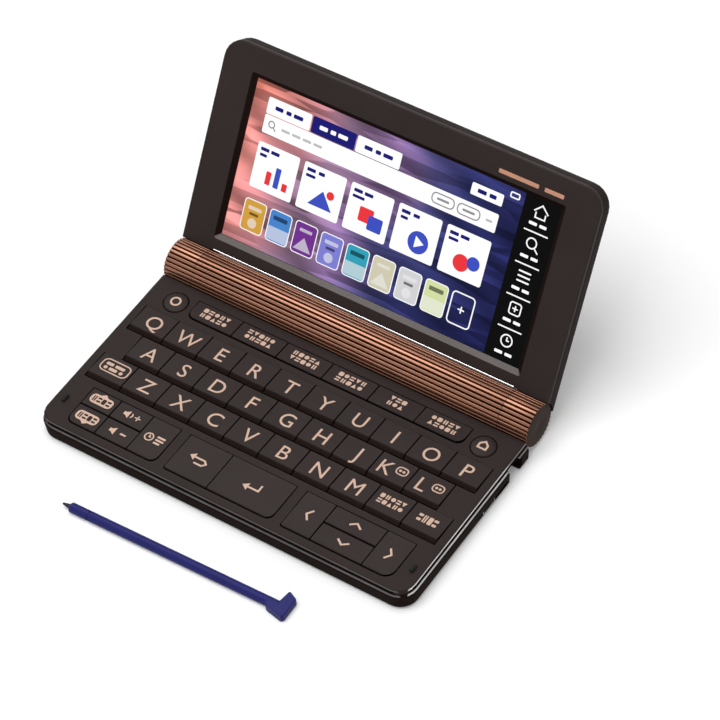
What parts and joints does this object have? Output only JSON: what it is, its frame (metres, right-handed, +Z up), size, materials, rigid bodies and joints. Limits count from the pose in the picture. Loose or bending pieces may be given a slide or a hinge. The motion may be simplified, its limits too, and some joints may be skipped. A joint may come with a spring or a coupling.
{
  "type": "electronic dictionary",
  "caption": "Clamshell electronic dictionary with a letter key field, a ribbed hinge barrel that holds the cells, a tilting colour display and a loose stylus.",
  "frame": {"origin": "centre of the base's flat underside, halfway along the closed depth", "axes": "+X to the right of the user, +Y to the hinge at the back, +Z up from the underside"},
  "size_m": [0.1568, 0.162, 0.0832],
  "materials": {
    "body_plastic": "dark brown-black moulded plastic, fine matte texture",
    "key_plastic": "dark brown-black key tops, fine matte texture, printed legends",
    "copper_barrel": "copper-coloured metallic coating on fine lengthwise ribs",
    "screen": "lit colour display under a clear touch glass",
    "board": "green circuit board with metal contact domes",
    "cell_sleeve": "plain sleeved dry cells",
    "pen_plastic": "deep blue moulded plastic, satin, with a dark tip"
  },
  "bodies": {
    "base": {"base_bottom_case": "body_plastic", "base_top_case": "body_plastic", "hinge_barrel": "copper_barrel", "battery_pair": "cell_sleeve", "key_board": "board"},
    "battery_cover": {"battery_cover": "body_plastic"},
    "lid": {"display_rear_cover": "body_plastic", "display_bezel": "body_plastic", "display_panel": "screen", "hinge_knuckle_left": "copper_barrel", "hinge_knuckle_right": "copper_barrel"},
    "stylus": {"stylus": "pen_plastic"},
    "key_a": {"key_a": "key_plastic"},
    "key_b": {"key_b": "key_plastic"},
    "key_back": {"key_back": "key_plastic"},
    "key_c": {"key_c": "key_plastic"},
    "key_d": {"key_d": "key_plastic"},
    "key_delete": {"key_delete": "key_plastic"},
    "key_down": {"key_down": "key_plastic"},
    "key_e": {"key_e": "key_plastic"},
    "key_enter": {"key_enter": "key_plastic"},
    "key_f": {"key_f": "key_plastic"},
    "key_function_1": {"key_function_1": "key_plastic"},
    "key_function_2": {"key_function_2": "key_plastic"},
    "key_function_3": {"key_function_3": "key_plastic"},
    "key_function_4": {"key_function_4": "key_plastic"},
    "key_function_5": {"key_function_5": "key_plastic"},
    "key_function_6": {"key_function_6": "key_plastic"},
    "key_g": {"key_g": "key_plastic"},
    "key_h": {"key_h": "key_plastic"},
    "key_history": {"key_history": "key_plastic"},
    "key_home": {"key_home": "key_plastic"},
    "key_i": {"key_i": "key_plastic"},
    "key_j": {"key_j": "key_plastic"},
    "key_jump_back": {"key_jump_back": "key_plastic"},
    "key_jump_next": {"key_jump_next": "key_plastic"},
    "key_k": {"key_k": "key_plastic"},
    "key_l": {"key_l": "key_plastic"},
    "key_left": {"key_left": "key_plastic"},
    "key_m": {"key_m": "key_plastic"},
    "key_mode": {"key_mode": "key_plastic"},
    "key_n": {"key_n": "key_plastic"},
    "key_o": {"key_o": "key_plastic"},
    "key_p": {"key_p": "key_plastic"},
    "key_power": {"key_power": "key_plastic"},
    "key_q": {"key_q": "key_plastic"},
    "key_r": {"key_r": "key_plastic"},
    "key_right": {"key_right": "key_plastic"},
    "key_s": {"key_s": "key_plastic"},
    "key_space": {"key_space": "key_plastic"},
    "key_t": {"key_t": "key_plastic"},
    "key_u": {"key_u": "key_plastic"},
    "key_up": {"key_up": "key_plastic"},
    "key_v": {"key_v": "key_plastic"},
    "key_volume_down": {"key_volume_down": "key_plastic"},
    "key_volume_up": {"key_volume_up": "key_plastic"},
    "key_w": {"key_w": "key_plastic"},
    "key_x": {"key_x": "key_plastic"},
    "key_y": {"key_y": "key_plastic"},
    "key_z": {"key_z": "key_plastic"}
  },
  "joints": [
    {"name": "battery_cover_slide", "type": "slide", "parent": "base", "child": "battery_cover", "axis": [0, 1, 0], "range_m": [0, 0.022]},
    {"name": "display_hinge", "type": "hinge", "parent": "base", "child": "lid", "pos_m": [0, 0.0383, 0.0092], "axis": [-1, 0, 0], "range_deg": [-122, 20]},
    {"name": "key_a_press", "type": "slide", "parent": "base", "child": "key_a", "axis": [0, 0, -1], "range_m": [0, 0.0006], "stiffness_N_per_m": 400, "springref_m": -0.001},
    {"name": "key_b_press", "type": "slide", "parent": "base", "child": "key_b", "axis": [0, 0, -1], "range_m": [0, 0.0006], "stiffness_N_per_m": 400, "springref_m": -0.001},
    {"name": "key_back_press", "type": "slide", "parent": "base", "child": "key_back", "axis": [0, 0, -1], "range_m": [0, 0.0006], "stiffness_N_per_m": 400, "springref_m": -0.001},
    {"name": "key_c_press", "type": "slide", "parent": "base", "child": "key_c", "axis": [0, 0, -1], "range_m": [0, 0.0006], "stiffness_N_per_m": 400, "springref_m": -0.001},
    {"name": "key_d_press", "type": "slide", "parent": "base", "child": "key_d", "axis": [0, 0, -1], "range_m": [0, 0.0006], "stiffness_N_per_m": 400, "springref_m": -0.001},
    {"name": "key_delete_press", "type": "slide", "parent": "base", "child": "key_delete", "axis": [0, 0, -1], "range_m": [0, 0.0006], "stiffness_N_per_m": 400, "springref_m": -0.001},
    {"name": "key_down_press", "type": "slide", "parent": "base", "child": "key_down", "axis": [0, 0, -1], "range_m": [0, 0.0006], "stiffness_N_per_m": 400, "springref_m": -0.001},
    {"name": "key_e_press", "type": "slide", "parent": "base", "child": "key_e", "axis": [0, 0, -1], "range_m": [0, 0.0006], "stiffness_N_per_m": 400, "springref_m": -0.001},
    {"name": "key_enter_press", "type": "slide", "parent": "base", "child": "key_enter", "axis": [0, 0, -1], "range_m": [0, 0.0006], "stiffness_N_per_m": 400, "springref_m": -0.001},
    {"name": "key_f_press", "type": "slide", "parent": "base", "child": "key_f", "axis": [0, 0, -1], "range_m": [0, 0.0006], "stiffness_N_per_m": 400, "springref_m": -0.001},
    {"name": "key_function_1_press", "type": "slide", "parent": "base", "child": "key_function_1", "axis": [0, 0, -1], "range_m": [0, 0.0006], "stiffness_N_per_m": 400, "springref_m": -0.001},
    {"name": "key_function_2_press", "type": "slide", "parent": "base", "child": "key_function_2", "axis": [0, 0, -1], "range_m": [0, 0.0006], "stiffness_N_per_m": 400, "springref_m": -0.001},
    {"name": "key_function_3_press", "type": "slide", "parent": "base", "child": "key_function_3", "axis": [0, 0, -1], "range_m": [0, 0.0006], "stiffness_N_per_m": 400, "springref_m": -0.001},
    {"name": "key_function_4_press", "type": "slide", "parent": "base", "child": "key_function_4", "axis": [0, 0, -1], "range_m": [0, 0.0006], "stiffness_N_per_m": 400, "springref_m": -0.001},
    {"name": "key_function_5_press", "type": "slide", "parent": "base", "child": "key_function_5", "axis": [0, 0, -1], "range_m": [0, 0.0006], "stiffness_N_per_m": 400, "springref_m": -0.001},
    {"name": "key_function_6_press", "type": "slide", "parent": "base", "child": "key_function_6", "axis": [0, 0, -1], "range_m": [0, 0.0006], "stiffness_N_per_m": 400, "springref_m": -0.001},
    {"name": "key_g_press", "type": "slide", "parent": "base", "child": "key_g", "axis": [0, 0, -1], "range_m": [0, 0.0006], "stiffness_N_per_m": 400, "springref_m": -0.001},
    {"name": "key_h_press", "type": "slide", "parent": "base", "child": "key_h", "axis": [0, 0, -1], "range_m": [0, 0.0006], "stiffness_N_per_m": 400, "springref_m": -0.001},
    {"name": "key_history_press", "type": "slide", "parent": "base", "child": "key_history", "axis": [0, 0, -1], "range_m": [0, 0.0006], "stiffness_N_per_m": 400, "springref_m": -0.001},
    {"name": "key_home_press", "type": "slide", "parent": "base", "child": "key_home", "axis": [0, 0, -1], "range_m": [0, 0.0006], "stiffness_N_per_m": 400, "springref_m": -0.001},
    {"name": "key_i_press", "type": "slide", "parent": "base", "child": "key_i", "axis": [0, 0, -1], "range_m": [0, 0.0006], "stiffness_N_per_m": 400, "springref_m": -0.001},
    {"name": "key_j_press", "type": "slide", "parent": "base", "child": "key_j", "axis": [0, 0, -1], "range_m": [0, 0.0006], "stiffness_N_per_m": 400, "springref_m": -0.001},
    {"name": "key_jump_back_press", "type": "slide", "parent": "base", "child": "key_jump_back", "axis": [0, 0, -1], "range_m": [0, 0.0006], "stiffness_N_per_m": 400, "springref_m": -0.001},
    {"name": "key_jump_next_press", "type": "slide", "parent": "base", "child": "key_jump_next", "axis": [0, 0, -1], "range_m": [0, 0.0006], "stiffness_N_per_m": 400, "springref_m": -0.001},
    {"name": "key_k_press", "type": "slide", "parent": "base", "child": "key_k", "axis": [0, 0, -1], "range_m": [0, 0.0006], "stiffness_N_per_m": 400, "springref_m": -0.001},
    {"name": "key_l_press", "type": "slide", "parent": "base", "child": "key_l", "axis": [0, 0, -1], "range_m": [0, 0.0006], "stiffness_N_per_m": 400, "springref_m": -0.001},
    {"name": "key_left_press", "type": "slide", "parent": "base", "child": "key_left", "axis": [0, 0, -1], "range_m": [0, 0.0006], "stiffness_N_per_m": 400, "springref_m": -0.001},
    {"name": "key_m_press", "type": "slide", "parent": "base", "child": "key_m", "axis": [0, 0, -1], "range_m": [0, 0.0006], "stiffness_N_per_m": 400, "springref_m": -0.001},
    {"name": "key_mode_press", "type": "slide", "parent": "base", "child": "key_mode", "axis": [0, 0, -1], "range_m": [0, 0.0006], "stiffness_N_per_m": 400, "springref_m": -0.001},
    {"name": "key_n_press", "type": "slide", "parent": "base", "child": "key_n", "axis": [0, 0, -1], "range_m": [0, 0.0006], "stiffness_N_per_m": 400, "springref_m": -0.001},
    {"name": "key_o_press", "type": "slide", "parent": "base", "child": "key_o", "axis": [0, 0, -1], "range_m": [0, 0.0006], "stiffness_N_per_m": 400, "springref_m": -0.001},
    {"name": "key_p_press", "type": "slide", "parent": "base", "child": "key_p", "axis": [0, 0, -1], "range_m": [0, 0.0006], "stiffness_N_per_m": 400, "springref_m": -0.001},
    {"name": "key_power_press", "type": "slide", "parent": "base", "child": "key_power", "axis": [0, 0, -1], "range_m": [0, 0.0006], "stiffness_N_per_m": 400, "springref_m": -0.001},
    {"name": "key_q_press", "type": "slide", "parent": "base", "child": "key_q", "axis": [0, 0, -1], "range_m": [0, 0.0006], "stiffness_N_per_m": 400, "springref_m": -0.001},
    {"name": "key_r_press", "type": "slide", "parent": "base", "child": "key_r", "axis": [0, 0, -1], "range_m": [0, 0.0006], "stiffness_N_per_m": 400, "springref_m": -0.001},
    {"name": "key_right_press", "type": "slide", "parent": "base", "child": "key_right", "axis": [0, 0, -1], "range_m": [0, 0.0006], "stiffness_N_per_m": 400, "springref_m": -0.001},
    {"name": "key_s_press", "type": "slide", "parent": "base", "child": "key_s", "axis": [0, 0, -1], "range_m": [0, 0.0006], "stiffness_N_per_m": 400, "springref_m": -0.001},
    {"name": "key_space_press", "type": "slide", "parent": "base", "child": "key_space", "axis": [0, 0, -1], "range_m": [0, 0.0006], "stiffness_N_per_m": 400, "springref_m": -0.001},
    {"name": "key_t_press", "type": "slide", "parent": "base", "child": "key_t", "axis": [0, 0, -1], "range_m": [0, 0.0006], "stiffness_N_per_m": 400, "springref_m": -0.001},
    {"name": "key_u_press", "type": "slide", "parent": "base", "child": "key_u", "axis": [0, 0, -1], "range_m": [0, 0.0006], "stiffness_N_per_m": 400, "springref_m": -0.001},
    {"name": "key_up_press", "type": "slide", "parent": "base", "child": "key_up", "axis": [0, 0, -1], "range_m": [0, 0.0006], "stiffness_N_per_m": 400, "springref_m": -0.001},
    {"name": "key_v_press", "type": "slide", "parent": "base", "child": "key_v", "axis": [0, 0, -1], "range_m": [0, 0.0006], "stiffness_N_per_m": 400, "springref_m": -0.001},
    {"name": "key_volume_down_press", "type": "slide", "parent": "base", "child": "key_volume_down", "axis": [0, 0, -1], "range_m": [0, 0.0006], "stiffness_N_per_m": 400, "springref_m": -0.001},
    {"name": "key_volume_up_press", "type": "slide", "parent": "base", "child": "key_volume_up", "axis": [0, 0, -1], "range_m": [0, 0.0006], "stiffness_N_per_m": 400, "springref_m": -0.001},
    {"name": "key_w_press", "type": "slide", "parent": "base", "child": "key_w", "axis": [0, 0, -1], "range_m": [0, 0.0006], "stiffness_N_per_m": 400, "springref_m": -0.001},
    {"name": "key_x_press", "type": "slide", "parent": "base", "child": "key_x", "axis": [0, 0, -1], "range_m": [0, 0.0006], "stiffness_N_per_m": 400, "springref_m": -0.001},
    {"name": "key_y_press", "type": "slide", "parent": "base", "child": "key_y", "axis": [0, 0, -1], "range_m": [0, 0.0006], "stiffness_N_per_m": 400, "springref_m": -0.001},
    {"name": "key_z_press", "type": "slide", "parent": "base", "child": "key_z", "axis": [0, 0, -1], "range_m": [0, 0.0006], "stiffness_N_per_m": 400, "springref_m": -0.001},
    {"name": "stylus_lift", "type": "slide", "parent": "base", "child": "stylus", "axis": [0, 0, 1], "range_m": [0, 0.03]}
  ]
}
